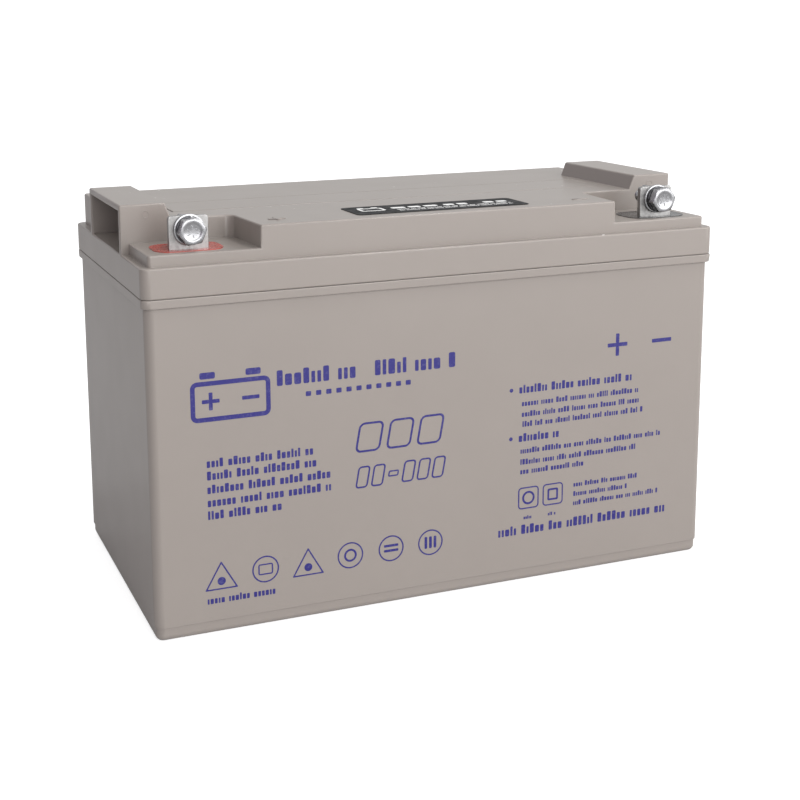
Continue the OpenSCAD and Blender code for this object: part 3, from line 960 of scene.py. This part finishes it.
def print_sign_row(ink):
    """Triangles and rings, each round a plain shape."""
    line, ring_r = 0.75, 7.3
    for u in (-128.3, -81.0):
        ink.triangle(u, 29.2, 9.4, line)
        ink.disc(u, 28.6, 2.2)
    rings = ((-104.5, 31.3), (-57.2, 31.5), (-33.7, 31.8), (-10.5, 31.7))
    for i, (u, v) in enumerate(rings):
        ink.ring(u, v, ring_r, line)
        if i == 0:
            ink.outlined_bar(u - 4.0, v - 3.0, u + 4.0, v + 3.0, 0.7, 1.0)
        elif i == 1:
            ink.ring(u, v, 3.6, 1.1)
        elif i == 2:
            for low in (v - 1.9, v + 0.9):
                ink.bar(u - 4.2, low, u + 4.2, low + 1.4, 0.5)
        else:
            for k in (-1, 0, 1):
                ink.bar(u + 2.7 * k - 0.8, v - 3.4, u + 2.7 * k + 0.8, v + 3.4, 0.6)
    ink.line_of_marks(-136.0, -98.4, 16.9, 3.8)


def print_right_side(ink):
    """Poles' signs, then two headed paragraphs, a pair of squares and a closing line."""
    for u, across in ((104.5, True), (133.5, False)):
        ink.cross(u, 131.0, 6.4, 2.2, across=across)
    paragraphs = {
        (109.4, 116.5): ((102.0, 44.5, 119.8), (95.9, 44.5, 121.0), (90.2, 45.0, 123.0)),
        (81.8, 69.0): ((74.9, 44.0, 135.0), (68.5, 44.0, 120.0), (63.0, 44.0, 86.7)),
    }
    for (v, right), rows in paragraphs.items():
        ink.disc(37.9, v + 2.2, 1.1)
        ink.line_of_marks(42.8, right, v, 4.7)
        for row, left, end in rows:
            ink.line_of_marks(left, end, row, 3.2)
    for u in (42.9, 58.3):
        ink.outlined_bar(u, 42.5, u + 12.9, 55.2, 0.75, 2.2)
        ink.line_of_marks(u + 3.6, u + 9.6, 36.5, 2.0)
    ink.ring(49.35, 48.85, 3.9, 1.2)
    ink.outlined_bar(61.4, 45.4, 68.1, 52.3, 1.1, 0.9)
    for row, end in ((51.2, 120.5), (45.7, 114.0), (40.3, 135.0)):
        ink.line_of_marks(78.0, end, row, 2.9)
    ink.line_of_marks(30.8, 140.4, 28.0, 5.4)


def make_print():
    """Everything printed on the front wall, in the order that the strokes are drawn at random."""
    ink = Print(front_wall, 5)
    for part in (print_emblem, print_headline, print_rating, print_left_lines, print_sign_row,
                 print_right_side):
        part(ink)
    ink.finish("front_print", "ink")


def make_label():
    """The black sticker on the deck, with white marks in place of its words."""
    bm = bmesh.new()
    low, high = LABEL_LOW, LABEL_HIGH
    middle = (low + high) / 2
    size = high - low
    rings = []
    for inset, z in ((0.0, low.z), (0.0, high.z - 0.08), (0.08, high.z)):
        outline = rounded_outline(size.x - 2 * inset, size.y - 2 * inset, 3.0, 12, 4, 8)
        rings.append(at_height(outline, z))
    loft(bm, rings)
    bmesh.ops.translate(bm, verts=bm.verts, vec=(middle.x, middle.y, 0))
    new_piece("deck_label", bm, "label", ["top_label"])
    white = Print(deck_label, 9)
    white.outlined_bar(-44, -3.6, -30, 6.2, 1.5, 1.8)
    for u in (-41, -33):
        white.bar(u - 1.8, 7.2, u + 1.8, 8.8, 0.4)
    for u0, u1 in ((-25, -17), (-15, -8), (-6, 2), (6, 12), (14, 20), (30, 36), (38, 44)):
        white.bar(u0, 0.4, u1, 4.8, 1.2)
    for v in (-4.4, -8.0):
        white.line_of_marks(-24, 44, v, 2.0)
    white.finish("label_print", "white_ink")


# ---- small marks of moulding ----


def make_moulding_marks():
    """A round ejector mark on the front and the rear of each end block."""
    profile = ((2.1, 0.0), (2.1, 0.10), (1.8, 0.14), (1.6, 0.10), (1.5, 0.0))
    sides = 32
    bm = bmesh.new()
    for side in (-1, 1):
        for y in (-1, 1):
            centre = Vector((side * BLOCK_MIDDLE_X, y * BLOCK_REACH_Y, EJECTOR_Z))
            rings = []
            for i in range(sides):
                a = math.tau * i / sides
                rings.append([centre + Vector((r * math.cos(a), y * h, r * math.sin(a)))
                              for r, h in profile])
            loft(bm, rings, capped=False)
    new_piece("ejector_marks", bm, "lid")


# ---- pieces that keep their CAD shape ----

KEPT = {
    "partitions": "case",
    "lid_sealant": "sealant",
    "vent_valves": "valve_rubber",
    "separators": "glass_mat",
    "positive_plates": "lead_dioxide",
    "negative_plates": "lead_plate",
    "positive_strap": "lead",
    "negative_strap": "lead",
    "cell_link": "lead",
    "positive_post": "lead",
    "negative_post": "lead",
    "positive_o_ring": "valve_rubber",
    "negative_o_ring": "valve_rubber",
}


def dress_cad_nodes():
    """Gives the pieces that keep their CAD shape a material, and all but the felt soft edges."""
    for name, node in NODES.items():
        kind = name.rstrip("0123456789").rstrip("_")
        if kind not in KEPT:
            continue
        node.data.materials.clear()
        node.data.materials.append(LOOKS[KEPT[kind]])
        if node.type == "MESH" and kind != "separators":
            edge = node.modifiers.new("soft_edges", "BEVEL")
            edge.width = 0.25 * MM
            edge.segments = 2
            edge.limit_method = "ANGLE"
            edge.angle_limit = math.radians(50)


# ---- stage, light and camera, in metres, watts and degrees ----

FLOOR_GLOW = 0.70
SIDE_DIM = 0.06
SKY = 0.84
FRONT_GAIN = 2.1
LIGHT_AIM = (0.0, 0.0, 0.11)
CAMERA_PLACE = Vector((-0.3072, -0.7291, 0.3148))
CAMERA_YAW = 20.86
CAMERA_PITCH = -10.14
CAMERA_ROLL = -0.59
CAMERA_LENS = 61.83
CAMERA_SHIFT = (0.075, -0.175)


def make_floor():
    """A pale floor; the camera itself sees it a little brighter, so that it runs into the background."""
    bm = bmesh.new()
    bmesh.ops.create_grid(bm, x_segments=1, y_segments=1, size=40.0)
    mesh = bpy.data.meshes.new("floor")
    bm.to_mesh(mesh)
    bm.free()
    floor = bpy.data.objects.new("floor", mesh)
    bpy.context.scene.collection.objects.link(floor)
    look = Material("pale_floor", (0.56, 0.56, 0.56), 0.9, specular=0.1)
    path = look.add("ShaderNodeLightPath")
    look.shader.inputs["Emission Color"].default_value = (1.0, 1.0, 1.0, 1.0)
    look.feed(look.shader.inputs["Emission Strength"],
              look.maths("MULTIPLY", path.outputs["Is Camera Ray"], FLOOR_GLOW))
    mesh.materials.append(look.material)


def area_light(name, position, size, watts):
    """A rectangular light that looks at the battery."""
    data = bpy.data.lights.new(name, "AREA")
    data.shape = "RECTANGLE"
    data.size, data.size_y = size
    data.energy = watts
    light = bpy.data.objects.new(name, data)
    bpy.context.scene.collection.objects.link(light)
    light.location = position
    ahead = Vector(LIGHT_AIM) - Vector(position)
    light.rotation_euler = ahead.to_track_quat("-Z", "Y").to_euler()


def make_lights():
    """The studio round the battery, a large soft light in front and a small one above."""
    make_world()
    area_light("front_softbox", position=(0.95, -1.9, 0.85), size=(3.6, 1.7), watts=50)
    area_light("top_softbox", position=(0.46, -0.34, 1.35), size=(0.25, 0.19), watts=5.5)


def make_world():
    """A white studio that is dimmer to the left and low behind; the camera itself sees plain white."""
    world = bpy.data.worlds.new("studio")
    bpy.context.scene.world = world
    world.use_nodes = True
    tree = world.node_tree

    def node(kind, values, **settings):
        """A new node with its properties set, and its inputs set or linked."""
        made = tree.nodes.new(kind)
        for key, value in settings.items():
            setattr(made, key, value)
        for key, value in values.items():
            if isinstance(value, bpy.types.NodeSocket):
                tree.links.new(value, made.inputs[key])
            else:
                made.inputs[key].default_value = value
        return made

    def weighted(a, weight, b):
        """a times weight, plus b."""
        scaled = node("ShaderNodeMath", {0: a, 1: weight}, operation="MULTIPLY").outputs[0]
        return node("ShaderNodeMath", {0: scaled, 1: b}, operation="ADD").outputs[0]

    def ramp(value, low, high, low_out, high_out):
        return node("ShaderNodeMapRange", {"Value": value, "From Min": low, "From Max": high,
                                           "To Min": low_out, "To Max": high_out}).outputs[0]

    direction = node("ShaderNodeTexCoord", {}).outputs["Generated"]
    x, y, z = node("ShaderNodeSeparateXYZ", {0: direction}).outputs
    from_left = ramp(weighted(z, 1.4, x), -0.85, 0.10, 0.0, 1.0)
    from_behind = ramp(weighted(z, -0.8, y), 0.1, 0.9, 1.0, 0.75)
    from_front = ramp(weighted(z, 0.4, y), -0.95, -0.10, FRONT_GAIN, 1.0)
    side = ramp(from_left, 0.0, 1.0, SIDE_DIM, SKY)
    level = node("ShaderNodeMath", {0: side, 1: from_behind}, operation="MULTIPLY").outputs[0]
    glow = node("ShaderNodeMath", {0: level, 1: from_front}, operation="MULTIPLY").outputs[0]
    hue = node("ShaderNodeMix", {"Factor": from_left, "A": (0.92, 0.72, 1.0, 1.0),
                                 "B": (1.0, 1.0, 1.0, 1.0)}, data_type="RGBA").outputs["Result"]
    seen = node("ShaderNodeLightPath", {}).outputs["Is Camera Ray"]
    background = tree.nodes["Background"]
    strength = node("ShaderNodeMath", {0: glow, 1: seen}, operation="ADD").outputs[0]
    tree.links.new(hue, background.inputs["Color"])
    tree.links.new(strength, background.inputs["Strength"])


def make_camera():
    """The camera at the photograph's angle."""
    data = bpy.data.cameras.new("camera")
    data.sensor_width = 36.0
    data.lens = CAMERA_LENS
    data.shift_x, data.shift_y = CAMERA_SHIFT
    data.clip_start = 0.02
    data.clip_end = 50.0
    camera = bpy.data.objects.new("camera", data)
    bpy.context.scene.collection.objects.link(camera)
    bpy.context.scene.camera = camera
    yaw, pitch, roll = (math.radians(a) for a in (CAMERA_YAW, CAMERA_PITCH, CAMERA_ROLL))
    ahead = Vector((math.sin(yaw) * math.cos(pitch), math.cos(yaw) * math.cos(pitch),
                    math.sin(pitch)))
    right = Vector((math.cos(yaw), -math.sin(yaw), 0.0))
    up = right.cross(ahead)
    turned_right = right * math.cos(roll) + up * math.sin(roll)
    turned_up = up * math.cos(roll) - right * math.sin(roll)
    axes = Matrix((turned_right, turned_up, -ahead)).transposed()
    camera.matrix_world = Matrix.Translation(CAMERA_PLACE) @ axes.to_4x4()


# ---- the whole scene ----

make_container()
make_lid()
make_vent_cover()
make_label()
for pole in POLES:
    make_flag(pole)
    make_bolt(pole)
    make_washers(pole)
    make_nut(pole)
make_epoxy("positive", "red_epoxy")
make_epoxy("negative", "black_epoxy")
make_print()
make_moulding_marks()
dress_cad_nodes()
make_floor()
make_lights()
make_camera()
bpy.context.scene.view_settings.view_transform = "Standard"
